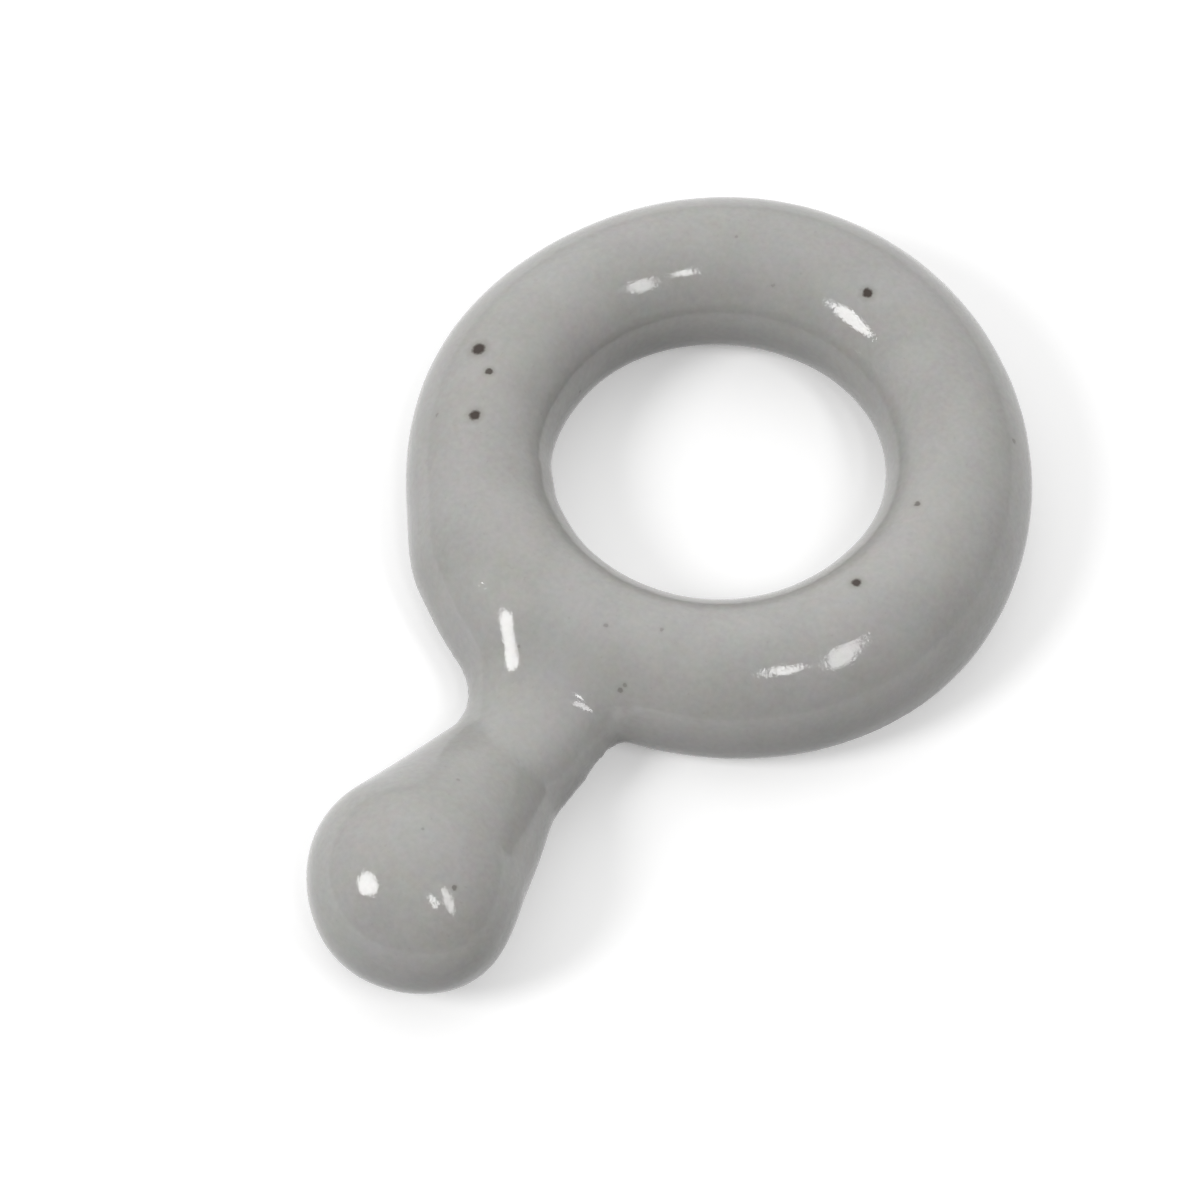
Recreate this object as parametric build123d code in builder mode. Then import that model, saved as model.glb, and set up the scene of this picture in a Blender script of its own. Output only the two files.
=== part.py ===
from build123d import *
from math import asin, atan2, cos, degrees, hypot, radians, sin
import os

os.makedirs("parts", exist_ok=True)

# A glazed ceramic chopstick rest: a ring with a drop-shaped tail that ends in a ball.
# +Y runs from the ball to the ring, +Z is up, and the origin is on the table under the middle of the rest.

# Driving sizes in millimetres and degrees
ring_radius = 17.0  # from the ring's centre to the centre line of its coil
coil_diameter = 9.7  # the bare clay coil
ball_diameter = 13.8  # the bare clay ball, seen from above
ball_flatness = 0.88  # the height of the whole ball, as a share of its diameter
tail_reach = 38.7  # from the ring's centre to the ball's centre
root_diameter = 2.1  # the tail, where its axis meets the coil's centre line
tail_lean = 3.4  # how far the tail turns from the line through both centres
neck_fillet = 4.2  # the round of the tail's spread root
slip_spread = 3.2  # how far the slip was brushed round the tail's root
glaze_thickness = 0.4
glaze_line = 0.9  # the height at which the wiped glaze ends
foot_depth = 0.45  # how much of the round clay the flat foot takes away
seam_angle = -11.0  # the coil's closing joint, measured round the ring from +X

# Clearance
slip_film = 0.2  # the gap between two pieces of clay, filled with slip

# Sizes that follow from these
coil_radius = coil_diameter / 2
ball_radius = ball_diameter / 2
root_radius = root_diameter / 2
coil_height = coil_radius - foot_depth
ball_height = ball_flatness * ball_radius - foot_depth
ring_back = ring_radius + coil_radius + glaze_thickness
ball_front = tail_reach + ball_radius + glaze_thickness
ring_y = (ball_front - ring_back) / 2
ball_y = ring_y - tail_reach

# The tail is a cone that touches the ball all round. Its axis dips by the cone's half angle, so that its
# underside lies level on the table. Ball and tail are drawn round, and flattened together.
tail_length = tail_reach - ring_radius
half_angle = degrees(asin(ball_radius / hypot(tail_length, root_radius)) - atan2(root_radius, tail_length))
taper_sin = sin(radians(half_angle))
taper_cos = cos(radians(half_angle))
lean_sin = sin(radians(tail_lean))
lean_cos = cos(radians(tail_lean))
tail_plane = Plane(
    origin=(0, ball_y, ball_height / ball_flatness),
    x_dir=(-lean_sin * taper_cos, lean_cos * taper_cos, -taper_sin),
    z_dir=(lean_cos, lean_sin, 0),
)
ring_axis = Axis((0, ring_y, 0), (0, 0, 1))
seam_plane = Plane(
    origin=(0, ring_y, 0),
    x_dir=(cos(radians(seam_angle)), sin(radians(seam_angle)), 0),
    z_dir=(sin(radians(seam_angle)), -cos(radians(seam_angle)), 0),
)


def round_coil(radius):
    """The whole ring, standing on the flat foot."""
    with BuildPart() as coil:
        with BuildSketch(Plane.YZ):
            with Locations((ring_y + ring_radius, coil_height)):
                Circle(radius)
        revolve(axis=ring_axis)
        split(bisect_by=Plane.XY, keep=Keep.TOP)
    return coil.part


def drawn_drop(radius):
    """The ball and its tail, as far as the coil's centre line, standing on the flat foot."""
    tangent = (radius * taper_sin, radius * taper_cos)
    tail_end = (radius - tail_length * taper_sin) / taper_cos
    with BuildPart() as drop:
        with BuildSketch(tail_plane):
            with BuildLine():
                TangentArc((-radius, 0), tangent, tangent=(0, 1))
                Polyline(tangent, (tail_length, tail_end), (tail_length, 0), (-radius, 0))
            make_face()
        revolve(axis=Axis(tail_plane.origin, tail_plane.x_dir))
        scale(by=(1, 1, ball_flatness))
        split(bisect_by=Plane.XY, keep=Keep.TOP)
    return drop.part


def joined_form(growth):
    """The ring and the drop as one smooth form, swollen evenly by the growth."""
    coil = round_coil(coil_radius + growth)
    drop = drawn_drop(ball_radius + growth)
    with BuildPart() as form:
        add(coil)
        add(drop)
        fillet(form.edges(Select.NEW), radius=neck_fillet - growth)
    return form.part


whole_coil = round_coil(coil_radius)
coped_coil = round_coil(coil_radius + slip_film)
brushed_zone = drawn_drop(ball_radius + slip_spread)
clay_form = joined_form(0)
glaze_form = joined_form(glaze_thickness)

# The coil, cut through at its closing joint
with BuildPart() as ring_coil:
    add(whole_coil)
    with BuildSketch(seam_plane):
        with Locations((ring_radius, coil_height)):
            Rectangle(2 * coil_diameter, 2 * coil_diameter)
    extrude(amount=slip_film / 2, both=True, mode=Mode.SUBTRACT)
ring_coil.part.label = "ring_coil"
export_step(ring_coil.part, "parts/ring_coil.step")

# The slip that closes the coil
with BuildPart() as ring_closing_slip:
    with BuildSketch(seam_plane):
        with Locations((ring_radius, coil_height)):
            Rectangle(2 * coil_diameter, 2 * coil_diameter)
    extrude(amount=slip_film / 2, both=True)
    add(whole_coil, mode=Mode.INTERSECT)
ring_closing_slip.part.label = "ring_closing_slip"
export_step(ring_closing_slip.part, "parts/ring_closing_slip.step")

# The drop, its root spread and hollowed to the coil's round
with BuildPart() as tail_roll:
    add(clay_form)
    add(coped_coil, mode=Mode.SUBTRACT)
tail_roll.part.label = "tail_roll"
export_step(tail_roll.part, "parts/tail_roll.step")

# The slip brushed on the coil, where the drop's root is pressed on
with BuildPart() as slip_seat:
    add(coped_coil)
    add(brushed_zone, mode=Mode.INTERSECT)
with BuildPart() as neck_slip:
    add(slip_seat.part)
    add(whole_coil, mode=Mode.SUBTRACT)
neck_slip.part.label = "neck_slip"
export_step(neck_slip.part, "parts/neck_slip.step")

# The glaze, which ends above the foot
with BuildPart() as glaze_coat:
    add(glaze_form)
    add(clay_form, mode=Mode.SUBTRACT)
    add(slip_seat.part, mode=Mode.SUBTRACT)
    split(bisect_by=Plane.XY.offset(glaze_line), keep=Keep.TOP)
glaze_coat.part.label = "glaze_coat"
export_step(glaze_coat.part, "parts/glaze_coat.step")
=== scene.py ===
"""The looks of a glazed ceramic chopstick rest: a ring with a drop-shaped tail that ends in a ball."""
from math import asin, atan2, cos, hypot, pi, radians, sin, tan

import bmesh
import bpy
import numpy as np
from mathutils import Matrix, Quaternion, Vector, noise
from mathutils.bvhtree import BVHTree


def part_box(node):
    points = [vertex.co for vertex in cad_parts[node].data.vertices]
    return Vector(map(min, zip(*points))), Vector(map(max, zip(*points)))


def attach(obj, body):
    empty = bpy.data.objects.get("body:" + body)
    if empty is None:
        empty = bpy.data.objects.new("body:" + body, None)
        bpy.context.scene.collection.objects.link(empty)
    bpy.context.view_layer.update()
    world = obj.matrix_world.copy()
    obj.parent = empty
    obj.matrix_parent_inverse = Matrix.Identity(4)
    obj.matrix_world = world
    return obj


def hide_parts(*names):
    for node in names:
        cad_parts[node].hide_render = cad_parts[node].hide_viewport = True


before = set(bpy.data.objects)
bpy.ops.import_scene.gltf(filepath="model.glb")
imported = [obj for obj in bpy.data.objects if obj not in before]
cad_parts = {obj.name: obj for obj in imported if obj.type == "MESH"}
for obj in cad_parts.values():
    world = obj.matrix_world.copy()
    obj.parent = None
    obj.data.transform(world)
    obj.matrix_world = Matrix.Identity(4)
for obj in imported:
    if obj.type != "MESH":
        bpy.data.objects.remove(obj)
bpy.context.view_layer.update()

mm = 0.001

# The clay under the glaze, worked out from the frame
foot_depth = 0.45 * mm  # how much of the round clay the flat foot takes away
root_radius = 1.05 * mm  # the tail, where its axis meets the coil's centre line
clay_nodes = ("ring_coil", "ring_closing_slip", "tail_roll", "neck_slip")
coil_low, coil_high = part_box("ring_coil")
tail_low, tail_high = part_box("tail_roll")
glaze_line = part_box("glaze_coat")[0].z
coil_radius = (coil_high.z + foot_depth) / 2
ring_radius = (coil_high.x - coil_low.x) / 2 - coil_radius
ring_centre = np.array((0, (coil_low.y + coil_high.y) / 2, coil_radius - foot_depth))
ball_radius = (tail_high.x - tail_low.x) / 2
ball_flatness = (tail_high.z + foot_depth) / (2 * ball_radius)
ball_centre = np.array((0, tail_low.y + ball_radius, ball_flatness * ball_radius - foot_depth))
tail_length = ring_centre[1] - ball_centre[1] - ring_radius
tail_taper = asin(ball_radius / hypot(tail_length, root_radius)) - atan2(root_radius, tail_length)

# The glaze over it, uneven as the hand left it. Angles run round the ring from +X.
coil_cover = 0.234 * mm
coil_tallness = 1.019  # the coil's section is a little taller than wide
coil_lean = -0.07  # and leans inwards at the top, by this share of the height
ball_cover = 0.56 * mm
edge_cover = 0.22 * mm  # at the wiped edge above the foot
edge_rise = 0.9 * mm  # over this height the glaze grows from the edge's cover to its own
tail_lean = radians(2.87)
neck_round = 3.8 * mm
ring_corner = 0.109 * mm  # the ring is a little three-cornered
ring_corner_angle = radians(96.9)
coil_swells = (  # angle, reach to each side, height
    (radians(-22.9), radians(36.8), 0.459 * mm),
    (radians(-11), radians(16.1), 0.054 * mm),
    (radians(108.1), radians(46.6), 0.52 * mm),
    (radians(183.1), radians(22), 0.224 * mm),
    (radians(220.9), radians(6), 0.129 * mm),
)
ball_marks = (  # azimuth and elevation from the ball's centre, height
    (radians(16), radians(-9), -0.442 * mm),
    (radians(-30), radians(-27), 0.224 * mm),
    (radians(-25.4), radians(21.4), 0.45 * mm),
    (radians(41.6), radians(59.5), -0.105 * mm),
    (radians(161), radians(24), 0.076 * mm),
    (radians(202.7), radians(59.5), 0.148 * mm),
    (radians(221), radians(-5), -0.225 * mm),
)
ball_mark_reach = radians(30)
ball_mark_length = 12 * mm  # along the tail, where the marks end

# Clay of the tail's root, smeared up one side of the ring
smear_start = 14.68 * mm  # along the tail from the ball's centre
smear_start_aside = 1.91 * mm  # to the right of the tail's axis
smear_start_height = 3.05 * mm
smear_start_radius = 3.06 * mm
smear_end_angle = radians(237.2)
smear_end_reach = 18.38 * mm  # from the ring's centre
smear_end_drop = 0.29 * mm  # below the coil's centre line
smear_end_radius = 3.53 * mm
smear_start_round = 3.17 * mm  # the hollow beside the smear, at the tail
smear_end_round = 4.0 * mm  # and at the ring
smear_round_span = (0.2, 0.8)  # the shares of the smear's length between which the hollow changes
smear_rise = 2.1 * mm  # the smear fades out towards the foot over this height
smear_fade = 1.2 * mm
smear_marks = (  # place, reach, height
    (np.array((-7.76, -8.04, 8.20)) * mm, 2.1 * mm, -0.07 * mm),
    (np.array((-4.64, -7.96, 8.71)) * mm, 1.6 * mm, 0.22 * mm),
    (np.array((-3.44, -10.12, 7.38)) * mm, 1.6 * mm, 0.14 * mm),
)

# The glaze as a mesh
skin_grain = 0.36 * mm
slope_step = 0.001 * mm  # the step over which the form's slope is measured
form_steps = 4  # how often a point steps towards the form
slide_rounds = 8
soften_rounds = 70
soften_shares = (0.5, -0.53)  # in and out again, so that the form doesn't shrink
skin_ripples = ((2.6 * mm, 0.016 * mm), (1.1 * mm, 0.006 * mm))  # wave length, height
line_wander = 0.12 * mm  # how far the glaze line strays up and down
line_wave = 5 * mm
line_slack = 0.05 * mm  # points as near as this to the glaze line are taken to lie on it
line_weld = 0.08 * mm  # points as near as this to each other become one
glaze_depth = 1.0 * mm
clay_gap = 0.02 * mm
thinnest_glaze = 0.03 * mm
lip_angles = (radians(45), radians(90), radians(135))  # the rows of points round the lip

# The glaze's colour and gloss
cloud_span = (0.3, 0.7)  # the noise levels between which clouds go from dark to pale, in the clay as well
glaze_cloud_size = 4.5 * mm
glaze_dark = (0.395, 0.389, 0.373, 1)
glaze_pale = (0.42, 0.415, 0.401, 1)
tint_size = 4 * mm
tint_strength = 0.012
mottle_size = 0.8 * mm
mottle_detail = 3
mottle_strength = 0.022
grain_size = 0.42 * mm
grain_strength = 0.038
pepper_size = 0.35 * mm
pepper_span = (0.68, 0.78)
pepper_share = 0.22
pepper_colour = (0.27, 0.25, 0.22, 1)
edge_brown_rise = 1.1 * mm  # the thin glaze is brown up to this height above its edge
edge_brown_share = 0.6
edge_brown = (0.24, 0.19, 0.13, 1)
glaze_roughness = (0.05, 0.08)  # in the dark and in the pale clouds
glaze_index = 1.5  # of refraction
glaze_stipple = ((0.6 * mm, 0.006 * mm), (0.2 * mm, 0.007 * mm))  # grain, height

# Iron specks in the glaze
ring_specks = (  # degrees round the ring, degrees up round the coil from outside, radius, darkness
    (-169.4, 75.4, 0.54 * mm, 1.0),
    (-164.0, 90.6, 0.30 * mm, 0.85),
    (-151.6, 87.0, 0.43 * mm, 0.97),
    (79.4, 106.1, 0.40 * mm, 0.95),
    (-22.5, 106.9, 0.38 * mm, 0.97),
    (7.8, 115.5, 0.25 * mm, 0.6),
    (-153.2, 53.7, 0.17 * mm, 0.22),
    (32.3, 45.6, 0.22 * mm, 0.3),
    (-85.3, 83.4, 0.16 * mm, 0.24),
    (-73.0, 94.5, 0.16 * mm, 0.24),
    (-78.0, 39.6, 0.21 * mm, 0.36),
    (-77.3, 44.9, 0.17 * mm, 0.28),
    (-98.7, 33.6, 0.15 * mm, 0.22),
    (117.7, 99.3, 0.15 * mm, 0.20),
    (105.2, 129.9, 0.15 * mm, 0.18),
    (-179.0, 171.2, 0.17 * mm, 0.24),
)
ball_specks = (  # degrees of azimuth and elevation from the ball's centre, radius, darkness
    (-16.7, 53.1, 0.19 * mm, 0.45),
    (74.2, 82.1, 0.14 * mm, 0.20),
    (93.8, 35.9, 0.14 * mm, 0.18),
)
speck_wander = 0.25 * mm  # how far a speck's outline strays
speck_wander_size = 0.3 * mm
speck_core = (0.6, 1.15)  # the core fades out between these shares of the speck's radius
speck_core_colour = (0.042, 0.028, 0.021, 1)
speck_halo = (0.5, 2.2)  # and the halo round it between these
speck_halo_share = 0.45
speck_halo_colour = (0.2, 0.19, 0.15, 1)

# The bare clay's colour and roughness
body_colours = ((0.30, 0.23, 0.165, 1), (0.37, 0.295, 0.22, 1))  # dark and pale clouds
slip_colours = ((0.34, 0.27, 0.20, 1), (0.40, 0.33, 0.25, 1))
clay_cloud_size = 2.5 * mm
clay_grain_size = 0.22 * mm
clay_grain_span = (0.6, 0.75)
clay_grain_share = 0.6
clay_grain_colour = (0.16, 0.11, 0.07, 1)
sand_size = 0.12 * mm
sand_detail = 4
sand_span = (0.55, 0.75)
sand_share = 0.35
sand_colour = (0.62, 0.56, 0.47, 1)
clay_roughness_span = (0.3, 0.7)  # the sand's noise levels between which the roughness grows
clay_roughness = (0.75, 0.95)
clay_pits = 0.03 * mm

# The camera and what it stands over
view_azimuth = radians(32.15)
view_elevation = radians(60.22)
view_distance = 250 * mm
view_aim = Vector((-2.833 * mm, 0.384 * mm, 0))
lens_length = 105.9
sensor_size = 36.0
nearest_seen = 10 * mm

# The light: azimuth runs from the camera's side towards its right
lamp_distance = 0.6
lamps = (  # name, azimuth, elevation, width, height, turn, brightness where white is 1
    ("left_lamp", radians(-67.5), radians(42.3), radians(19.5), radians(21), 0, 13.0),
    ("narrow_lamp", radians(20.8), radians(59.1), radians(6), radians(11), radians(-10), 12.5),
    ("right_lamp", radians(45.3), radians(54.4), radians(9.5), radians(25), radians(-26), 8.5),
)
sky_level = 0.02
sky_glows = (  # azimuth, elevation, strength
    (radians(180), 0, 1.0),
    (radians(180), radians(45), 0.33),
)
sky_glow_fall = 2.0
sky_haze = 0.65  # the sky just above the floor, as bright as the floor, so that the gloss shows no horizon
sky_haze_fall = 4.0
floor_reach = 1.5  # from the middle to each side
floor_white = 0.9  # the floor's colour where it is seen
floor_lift = 0.3  # the light that it sends to the eye by itself, to be white
floor_bounce = 0.06  # its colour for the light that it throws back on the object


def smooth_step(values, start, end):
    share = np.clip((values - start) / (end - start), 0, 1)
    return share * share * (3 - 2 * share)


def bell(offset, reach):
    return np.exp(-((offset / reach) ** 2))


def turn_between(angles, middle):
    return (angles - middle + np.pi) % (2 * np.pi) - np.pi


def direction(azimuth, elevation):
    flat = cos(elevation)
    return np.array((flat * cos(azimuth), flat * sin(azimuth), sin(elevation)))


def round_union(first, second, radius):
    """The distance to two forms, joined by a round hollow of that radius."""
    hollow = np.hypot(np.maximum(radius - first, 0), np.maximum(radius - second, 0))
    return np.maximum(radius, np.minimum(first, second)) - hollow


def round_cone(points, start, end, start_radius, end_radius):
    """The distance to two balls of those radii and the cone that touches both."""
    axis = end - start
    length = np.linalg.norm(axis)
    axis = axis / length
    slope = (start_radius - end_radius) / length
    rest = np.sqrt(1 - slope * slope)
    offset = points - start
    along = offset @ axis
    across = np.sqrt(np.maximum((offset * offset).sum(1) - along * along, 0))
    foot = along - across * slope / rest
    side = across * rest + along * slope - start_radius
    near_start = np.hypot(along, across) - start_radius
    near_end = np.hypot(along - length, across) - end_radius
    return np.where(foot < 0, near_start, np.where(foot > length, near_end, side))


def above_edge(points):
    """How far the glaze at each point has grown from its wiped edge, from 0 to 1."""
    return smooth_step(points[:, 2], glaze_line, glaze_line + edge_rise)


def coil_distance(points):
    offset = points - ring_centre
    angles = np.arctan2(offset[:, 1], offset[:, 0])
    from_axis = np.hypot(offset[:, 0], offset[:, 1])
    height = offset[:, 2]
    cover = coil_cover
    for angle, reach, swell in coil_swells:
        cover = cover + swell * bell(turn_between(angles, angle), reach)
    corner = ring_corner * np.cos(3 * (angles - ring_corner_angle))
    aside = from_axis - ring_radius - corner - coil_lean * height
    glazed = np.hypot(aside, height / coil_tallness) - coil_radius - cover
    wiped = np.hypot(from_axis - ring_radius, height) - coil_radius - edge_cover
    return wiped + (glazed - wiped) * above_edge(points)


tail_axis = np.array((
    -sin(tail_lean) * cos(tail_taper),
    cos(tail_lean) * cos(tail_taper),
    -sin(tail_taper),
))
smear_from = ball_centre + smear_start * tail_axis + smear_start_aside * direction(tail_lean, 0)
smear_from[2] = smear_start_height
smear_to = ring_centre + smear_end_reach * direction(smear_end_angle, 0)
smear_to[2] -= smear_end_drop


def drop_distance(points):
    """The distance to the ball and its tail, which are drawn round and flattened together."""
    offset = points - ball_centre
    outward = offset / np.maximum(np.linalg.norm(offset, axis=1), mm * mm)[:, None]
    fading = np.clip(1 - offset @ tail_axis / ball_mark_length, 0, 1)
    cover = ball_cover - edge_cover
    for azimuth, elevation, height in ball_marks:
        away = np.arccos(np.clip(outward @ direction(azimuth, elevation), -1, 1))
        cover = cover + height * bell(away, ball_mark_reach) * fading
    drawn = ball_centre + offset / np.array((1, 1, ball_flatness))
    end = ball_centre + tail_length * tail_axis
    end_radius = ball_radius - tail_length * sin(tail_taper)
    bare = round_cone(drawn, ball_centre, end, ball_radius, end_radius)
    return bare - edge_cover - cover * above_edge(points)


def smear_distance(points):
    rise = smooth_step(points[:, 2], glaze_line, glaze_line + smear_rise)
    smear = round_cone(points, smear_from, smear_to, smear_start_radius, smear_end_radius)
    return smear + smear_fade * (1 - rise)


def form_distance(points):
    """The distance to the glazed form, below nought inside it."""
    body = round_union(coil_distance(points), drop_distance(points), neck_round)
    along = smear_to - smear_from
    share = (points - smear_from) @ along / (along @ along)
    growth = smooth_step(share, *smear_round_span)
    hollow = smear_start_round + (smear_end_round - smear_start_round) * growth
    form = round_union(body, smear_distance(points), hollow)
    for place, reach, height in smear_marks:
        form = form - height * bell(np.linalg.norm(points - place, axis=1), reach)
    return form


def form_slope(points):
    slopes = []
    for axis in np.eye(3):
        rise = form_distance(points + slope_step * axis) - form_distance(points - slope_step * axis)
        slopes.append(rise / (2 * slope_step))
    return np.stack(slopes, axis=1)


def onto_form(points):
    for _ in range(form_steps):
        slope = form_slope(points)
        steepness = (slope * slope).sum(1)
        points = points - slope * (form_distance(points) / steepness)[:, None]
    return points


def joined_clay():
    """The clay pieces of the frame in one mesh."""
    joined = bmesh.new()
    for name in clay_nodes:
        joined.from_mesh(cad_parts[name].data)
    mesh = bpy.data.meshes.new("joined_clay")
    joined.to_mesh(mesh)
    joined.free()
    return mesh


def quad_skin(clay):
    """One closed skin of even quads round the clay."""
    base = bpy.data.objects.new("base", clay)
    bpy.context.scene.collection.objects.link(base)
    remesh = base.modifiers.new("remesh", "REMESH")
    remesh.mode = "VOXEL"
    remesh.voxel_size = skin_grain
    shaped = base.evaluated_get(bpy.context.evaluated_depsgraph_get())
    skin = bpy.data.meshes.new_from_object(shaped)
    bpy.data.objects.remove(base)
    return skin


def glazed_skin(clay):
    """The skin of even quads, slid out onto the glazed form and softened."""
    skin = quad_skin(clay)
    count = len(skin.vertices)
    points = np.empty(3 * count)
    skin.vertices.foreach_get("co", points)
    edges = np.empty(2 * len(skin.edges), int)
    skin.edges.foreach_get("vertices", edges)
    points = onto_form(points.reshape(-1, 3))
    one, other = edges.reshape(-1, 2).T
    neighbours = np.bincount(one, minlength=count) + np.bincount(other, minlength=count)

    def among_neighbours(points):
        total = np.empty((count, 3))
        for axis in range(3):
            total[:, axis] = np.bincount(one, points[other, axis], count)
            total[:, axis] += np.bincount(other, points[one, axis], count)
        return total / neighbours[:, None]

    for _ in range(slide_rounds):
        points = onto_form(among_neighbours(points))
    for _ in range(soften_rounds):
        for share in soften_shares:
            points = points + share * (among_neighbours(points) - points)
    skin.vertices.foreach_set("co", points.ravel())
    return skin


def line_height(x, y):
    return glaze_line + line_wander * noise.noise(Vector((x, y, 0)) / line_wave)


def cut_at_glaze_line(skin):
    """The part of the skin above the wandering glaze line, and the edges where it was cut."""
    shape = bmesh.new()
    shape.from_mesh(skin)
    for vertex in shape.verts:
        vertex.co.z -= line_height(vertex.co.x, vertex.co.y)
    geometry = shape.verts[:] + shape.edges[:] + shape.faces[:]
    bmesh.ops.bisect_plane(
        shape, geom=geometry, plane_co=(0, 0, 0), plane_no=(0, 0, 1), clear_inner=True, dist=line_slack)
    bmesh.ops.remove_doubles(shape, verts=shape.verts[:], dist=line_weld)
    for vertex in shape.verts:
        vertex.co.z += line_height(vertex.co.x, vertex.co.y)
    shape.verts.index_update()
    shape.normal_update()
    points = np.array([vertex.co for vertex in shape.verts], float)
    normals = np.array([vertex.normal for vertex in shape.verts], float)
    faces = [[vertex.index for vertex in face.verts] for face in shape.faces]
    rim = []
    for edge in shape.edges:
        if edge.is_boundary:
            loop = edge.link_loops[0]
            rim.append((loop.vert.index, loop.link_loop_next.vert.index))
    shape.free()
    return points, normals, faces, rim


def rippled(points, normals):
    heights = np.zeros(len(points))
    for wave, height in skin_ripples:
        heights += height * np.array([noise.noise(Vector(point) / wave) for point in points])
    return points + normals * heights[:, None]


def glaze_thickness(points, normals, clay):
    """How far the glaze reaches in from each point, down to the clay at most."""
    tree = BVHTree.FromPolygons(
        [vertex.co for vertex in clay.vertices], [polygon.vertices for polygon in clay.polygons])
    thickness = np.full(len(points), glaze_depth)
    for index, (point, normal) in enumerate(zip(points, normals)):
        depth = tree.ray_cast(Vector(point), -Vector(normal))[3]
        if depth is not None:
            thickness[index] = min(glaze_depth, max(depth - clay_gap, thinnest_glaze))
    return thickness


def round_lip(points, normals, outer, inner, rim):
    """The points and faces of a round lip between both skins, numbered on from them."""
    count = len(points)
    follower = dict(rim)
    leader = {after: before for before, after in rim}
    rim_points = sorted(follower)
    before = points[[leader[index] for index in rim_points]]
    after = points[[follower[index] for index in rim_points]]
    along = (after - before) / np.linalg.norm(after - before, axis=1)[:, None]
    middle = (outer[rim_points] + inner[rim_points]) / 2
    half = (outer[rim_points] - inner[rim_points]) / 2
    beyond = np.cross(along, normals[rim_points]) * np.linalg.norm(half, axis=1)[:, None]

    lip_points = []
    rows = [rim_points]
    for order, angle in enumerate(lip_angles):
        lip_points.append(middle + cos(angle) * half + sin(angle) * beyond)
        first = 2 * count + order * len(rim_points)
        rows.append(list(range(first, first + len(rim_points))))
    rows.append([index + count for index in rim_points])

    lip_faces = []
    place = {index: order for order, index in enumerate(rim_points)}
    for upper, lower in zip(rows, rows[1:]):
        for start, end in rim:
            here = place[start]
            there = place[end]
            lip_faces.append([upper[there], upper[here], lower[here], lower[there]])
    return lip_points, lip_faces


def glaze_shell():
    """The glaze as a closed shell: its outer skin, a round lip above the foot, and a skin on the clay."""
    clay = joined_clay()
    skin = glazed_skin(clay.copy())
    points, normals, outer_faces, rim = cut_at_glaze_line(skin)
    thickness = glaze_thickness(points, normals, clay)
    outer = rippled(points, normals)
    inner = points - normals * thickness[:, None]
    inner_faces = [[index + len(points) for index in reversed(face)] for face in outer_faces]
    lip_points, lip_faces = round_lip(points, normals, outer, inner, rim)

    mesh = bpy.data.meshes.new("glaze")
    shell_points = np.concatenate((outer, inner, *lip_points))
    mesh.from_pydata(shell_points.tolist(), [], outer_faces + inner_faces + lip_faces)
    mesh.shade_smooth()
    shell = bpy.data.objects.new("glaze", mesh)
    bpy.context.scene.collection.objects.link(shell)
    bpy.data.meshes.remove(skin)
    bpy.data.meshes.remove(clay)
    return shell


class Shading:
    """Short ways to add nodes to one node tree."""

    mix_inputs = (0, 6, 7)  # a Mix node's sockets for the share and the two colours
    mix_output = 2

    def __init__(self, tree):
        self.nodes = tree.nodes
        self.links = tree.links

    def feed(self, socket, value):
        if isinstance(value, bpy.types.NodeSocket):
            self.links.new(value, socket)
        else:
            socket.default_value = value

    def add(self, kind, output, inputs, **settings):
        node = self.nodes.new(kind)
        for name, value in settings.items():
            setattr(node, name, value)
        for name, value in inputs.items():
            self.feed(node.inputs[name], value)
        return node.outputs[output]

    def noise(self, place, size, detail=2.0, output="Fac"):
        levels = {"Vector": place, "Scale": 1 / size, "Detail": detail}
        return self.add("ShaderNodeTexNoise", output, levels)

    def ramp(self, value, start, end, low=0.0, high=1.0):
        levels = {"Value": value, "From Min": start, "From Max": end, "To Min": low, "To Max": high}
        return self.add("ShaderNodeMapRange", "Result", levels, interpolation_type="SMOOTHSTEP")

    def math(self, operation, *values):
        return self.add("ShaderNodeMath", "Value", dict(enumerate(values)), operation=operation)

    def vector(self, operation, *values, output="Vector"):
        return self.add("ShaderNodeVectorMath", output, dict(enumerate(values)), operation=operation)

    def scaled(self, vector, scale):
        return self.add("ShaderNodeVectorMath", "Vector", {0: vector, "Scale": scale}, operation="SCALE")

    def mix(self, share, low, high, blend="MIX"):
        node = self.nodes.new("ShaderNodeMix")
        node.data_type = "RGBA"
        node.blend_type = blend
        for index, value in zip(self.mix_inputs, (share, low, high)):
            self.feed(node.inputs[index], value)
        return node.outputs[self.mix_output]

    def stain(self, colour, stain, strength):
        """The colour, made lighter and darker by a noise."""
        return self.mix(strength, colour, stain, blend="LINEAR_LIGHT")

    def bump(self, levels, height, **before):
        return self.add("ShaderNodeBump", "Normal", {"Height": levels, "Distance": height, **before})


def new_material(name):
    """A material, its shader, and the short ways to add nodes to it."""
    material = bpy.data.materials.new(name)
    material.use_nodes = True
    return material, material.node_tree.nodes["Principled BSDF"], Shading(material.node_tree)


def grey(level):
    return (level, level, level, 1)


def speck_places():
    """Every speck's place on the glaze, with its radius and darkness."""
    places = []
    marks = []
    for ring_angle, coil_angle, radius, darkness in ring_specks:
        out = direction(radians(ring_angle), 0)
        reach = coil_radius * cos(radians(coil_angle))
        rise = coil_radius * sin(radians(coil_angle))
        places.append(ring_centre + (ring_radius + reach) * out + np.array((0, 0, rise)))
        marks.append((radius, darkness))
    for azimuth, elevation, radius, darkness in ball_specks:
        places.append(ball_centre + ball_radius * direction(radians(azimuth), radians(elevation)))
        marks.append((radius, darkness))
    return zip(onto_form(np.array(places)), marks)


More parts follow.
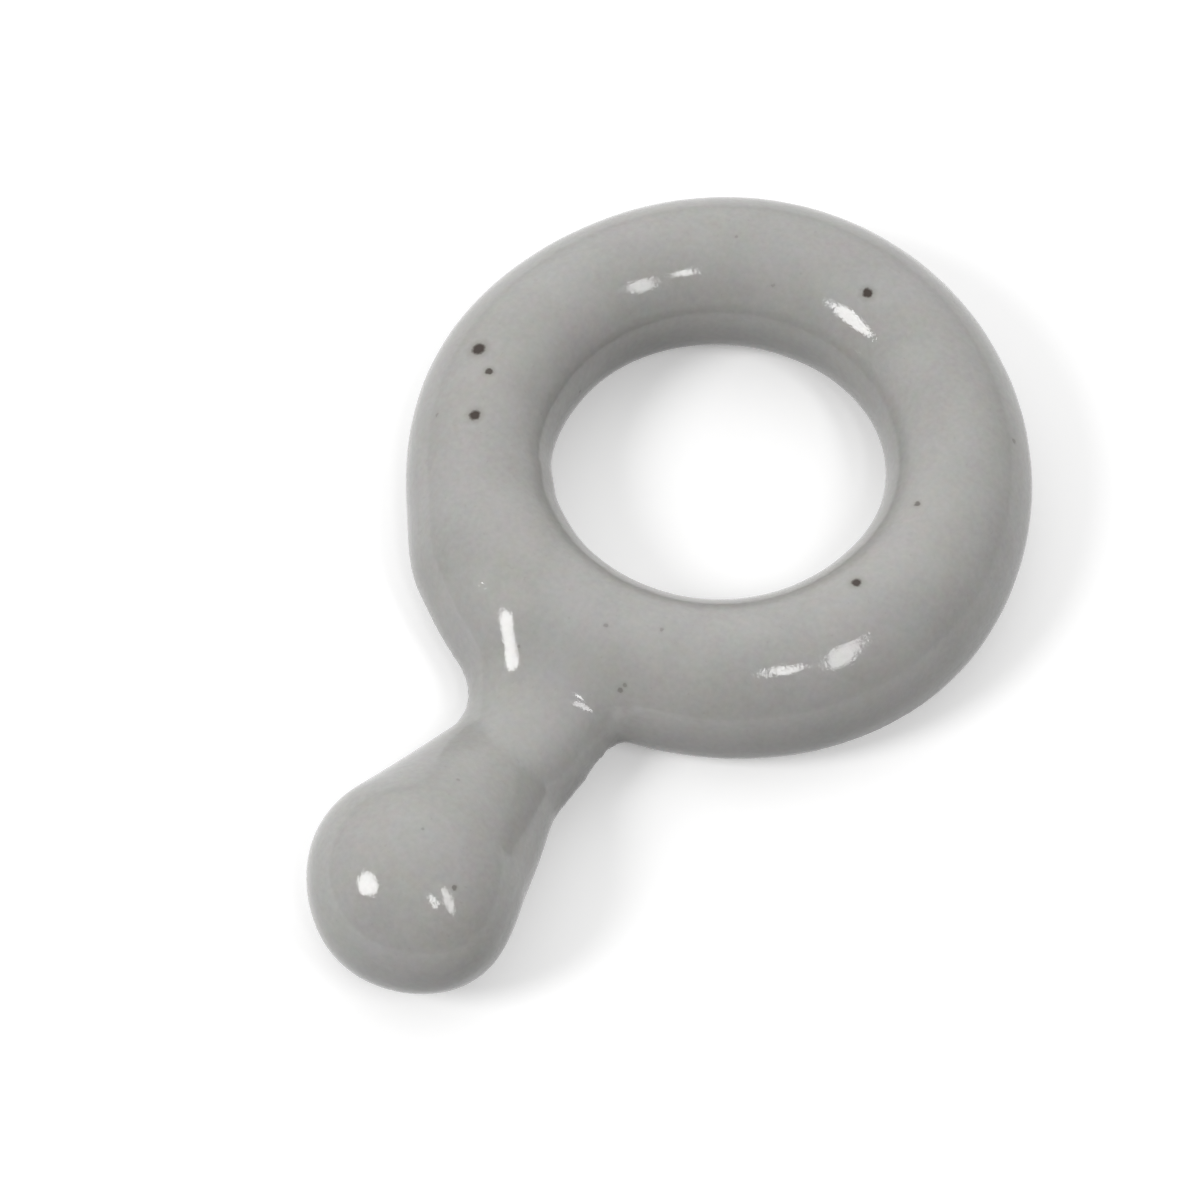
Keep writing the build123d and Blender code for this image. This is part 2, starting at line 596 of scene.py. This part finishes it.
def with_specks(shading, place, colour):
    """The colour with the iron specks on it, dark cores in brown halos, all with uneven outlines."""
    wander = shading.noise(place, speck_wander_size, output="Color")
    wander = shading.scaled(shading.vector("SUBTRACT", wander, (0.5, 0.5, 0.5)), speck_wander)
    uneven = shading.vector("ADD", place, wander)
    for speck, (radius, darkness) in speck_places():
        away = shading.vector("DISTANCE", uneven, tuple(speck), output="Value")
        halo_start, halo_end = speck_halo
        halo = shading.ramp(away, halo_start * radius, halo_end * radius, speck_halo_share * darkness, 0)
        colour = shading.mix(halo, colour, speck_halo_colour)
        core_start, core_end = speck_core
        core = shading.ramp(away, core_start * radius, core_end * radius, darkness, 0)
        colour = shading.mix(core, colour, speck_core_colour)
    return colour


def glaze_material():
    """Glossy pale grey glaze: faint clouds and mottling, a stipple, iron specks and a brown edge."""
    material, shader, shading = new_material("glaze")
    place = shading.add("ShaderNodeTexCoord", "Object", {})
    clouds = shading.ramp(shading.noise(place, glaze_cloud_size), *cloud_span)
    colour = shading.mix(clouds, glaze_dark, glaze_pale)
    colour = shading.stain(colour, shading.noise(place, tint_size, output="Color"), tint_strength)
    mottle = shading.noise(place, mottle_size, mottle_detail, output="Color")
    colour = shading.stain(colour, mottle, mottle_strength)
    colour = shading.stain(colour, shading.noise(place, grain_size), grain_strength)
    pepper = shading.ramp(shading.noise(place, pepper_size), *pepper_span, high=pepper_share)
    colour = shading.mix(pepper, colour, pepper_colour)
    colour = with_specks(shading, place, colour)
    height = shading.add("ShaderNodeSeparateXYZ", "Z", {"Vector": place})
    thin = shading.ramp(height, glaze_line, glaze_line + edge_brown_rise, edge_brown_share, 0)
    colour = shading.mix(thin, colour, edge_brown)
    (wide_grain, wide_height), (fine_grain, fine_height) = glaze_stipple
    wide = shading.bump(shading.noise(place, wide_grain), wide_height)
    fine = shading.bump(shading.noise(place, fine_grain), fine_height, Normal=wide)
    shading.feed(shader.inputs["Base Color"], colour)
    shading.feed(shader.inputs["Roughness"], shading.ramp(clouds, 0, 1, *glaze_roughness))
    shading.feed(shader.inputs["IOR"], glaze_index)
    shading.feed(shader.inputs["Normal"], fine)
    return material


def clay_material(name, dark, pale):
    """Bare fired stoneware: a sandy buff body with darker grains and a rough, pitted surface."""
    material, shader, shading = new_material(name)
    place = shading.add("ShaderNodeTexCoord", "Object", {})
    clouds = shading.ramp(shading.noise(place, clay_cloud_size), *cloud_span)
    colour = shading.mix(clouds, dark, pale)
    grains = shading.ramp(shading.noise(place, clay_grain_size), *clay_grain_span, high=clay_grain_share)
    colour = shading.mix(grains, colour, clay_grain_colour)
    sand = shading.noise(place, sand_size, sand_detail)
    colour = shading.mix(shading.ramp(sand, *sand_span, high=sand_share), colour, sand_colour)
    shading.feed(shader.inputs["Base Color"], colour)
    roughness = shading.ramp(sand, *clay_roughness_span, *clay_roughness)
    shading.feed(shader.inputs["Roughness"], roughness)
    shading.feed(shader.inputs["Normal"], shading.bump(sand, clay_pits))
    return material


def stage_floor():
    """A plain floor, white where it is seen, with the object's shadow on it."""
    mesh = bpy.data.meshes.new("floor")
    corners = [(x * floor_reach, y * floor_reach, 0) for x, y in ((-1, -1), (1, -1), (1, 1), (-1, 1))]
    mesh.from_pydata(corners, [], [(0, 1, 2, 3)])
    floor = bpy.data.objects.new("floor", mesh)
    bpy.context.scene.collection.objects.link(floor)
    material, shader, shading = new_material("floor")
    path = shading.nodes.new("ShaderNodeLightPath").outputs
    seen = shading.math("ADD", path["Is Camera Ray"], path["Is Glossy Ray"])
    seen = shading.math("ADD", seen, path["Is Transmission Ray"])
    colour = shading.mix(seen, grey(floor_bounce), grey(floor_white))
    shading.feed(shader.inputs["Base Color"], colour)
    shading.feed(shader.inputs["Emission Strength"], shading.math("MULTIPLY", seen, floor_lift))
    shading.feed(shader.inputs["Emission Color"], grey(1))
    shading.feed(shader.inputs["Roughness"], 1)
    shading.feed(shader.inputs["Specular IOR Level"], 0)
    mesh.materials.append(material)


def aim(thing, place, target, turn=0):
    facing = (target - place).to_track_quat("-Z", "Y")
    thing.location = place
    thing.rotation_euler = (facing @ Quaternion((0, 0, 1), turn)).to_euler()


def from_camera_side(azimuth, elevation):
    """A direction whose azimuth runs from the camera's side of the object towards the camera's right."""
    return Vector(direction(view_azimuth - pi / 2 + azimuth, elevation))


def photo_camera():
    camera = bpy.data.objects.new("camera", bpy.data.cameras.new("camera"))
    bpy.context.scene.collection.objects.link(camera)
    camera.data.lens = lens_length
    camera.data.sensor_width = sensor_size
    camera.data.clip_start = nearest_seen
    aim(camera, view_aim + view_distance * from_camera_side(0, view_elevation), view_aim)
    bpy.context.scene.camera = camera


def studio_lamps():
    for name, azimuth, elevation, width, height, turn, brightness in lamps:
        lamp = bpy.data.objects.new(name, bpy.data.lights.new(name, "AREA"))
        bpy.context.scene.collection.objects.link(lamp)
        lamp.data.shape = "ELLIPSE"
        lamp.data.size = 2 * lamp_distance * tan(width / 2)
        lamp.data.size_y = 2 * lamp_distance * tan(height / 2)
        area = pi / 4 * lamp.data.size * lamp.data.size_y
        lamp.data.energy = brightness * pi * area
        aim(lamp, lamp_distance * from_camera_side(azimuth, elevation), Vector((0, 0, 0)), turn)


def studio_sky():
    """Soft light from all round, with broad glows, and a haze above the floor."""
    world = bpy.data.worlds.new("sky")
    bpy.context.scene.world = world
    world.use_nodes = True
    shading = Shading(world.node_tree)
    place = shading.add("ShaderNodeTexCoord", "Generated", {})
    level = sky_level
    for azimuth, elevation, strength in sky_glows:
        towards = tuple(from_camera_side(azimuth, elevation))
        facing = shading.vector("DOT_PRODUCT", place, towards, output="Value")
        share = shading.math("POWER", shading.math("MULTIPLY_ADD", facing, 0.5, 0.5), sky_glow_fall)
        level = shading.math("MULTIPLY_ADD", share, strength, level)
    height = shading.math("ABSOLUTE", shading.add("ShaderNodeSeparateXYZ", "Z", {"Vector": place}))
    haze = shading.math("POWER", shading.math("SUBTRACT", 1.0, height), sky_haze_fall)
    level = shading.math("MULTIPLY_ADD", haze, shading.math("SUBTRACT", sky_haze, level), level)
    background = world.node_tree.nodes["Background"]
    shading.feed(background.inputs["Strength"], level)
    shading.feed(background.inputs["Color"], grey(1))


glaze = glaze_shell()
glaze.data.materials.append(glaze_material())
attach(glaze, "root")
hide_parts("glaze_coat")
body_clay = clay_material("clay_body", *body_colours)
slip_clay = clay_material("clay_slip", *slip_colours)
for name in clay_nodes:
    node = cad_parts[name]
    node.data.materials.clear()
    node.data.materials.append(slip_clay if "slip" in name else body_clay)
stage_floor()
photo_camera()
studio_lamps()
studio_sky()
bpy.context.scene.view_settings.view_transform = "Standard"
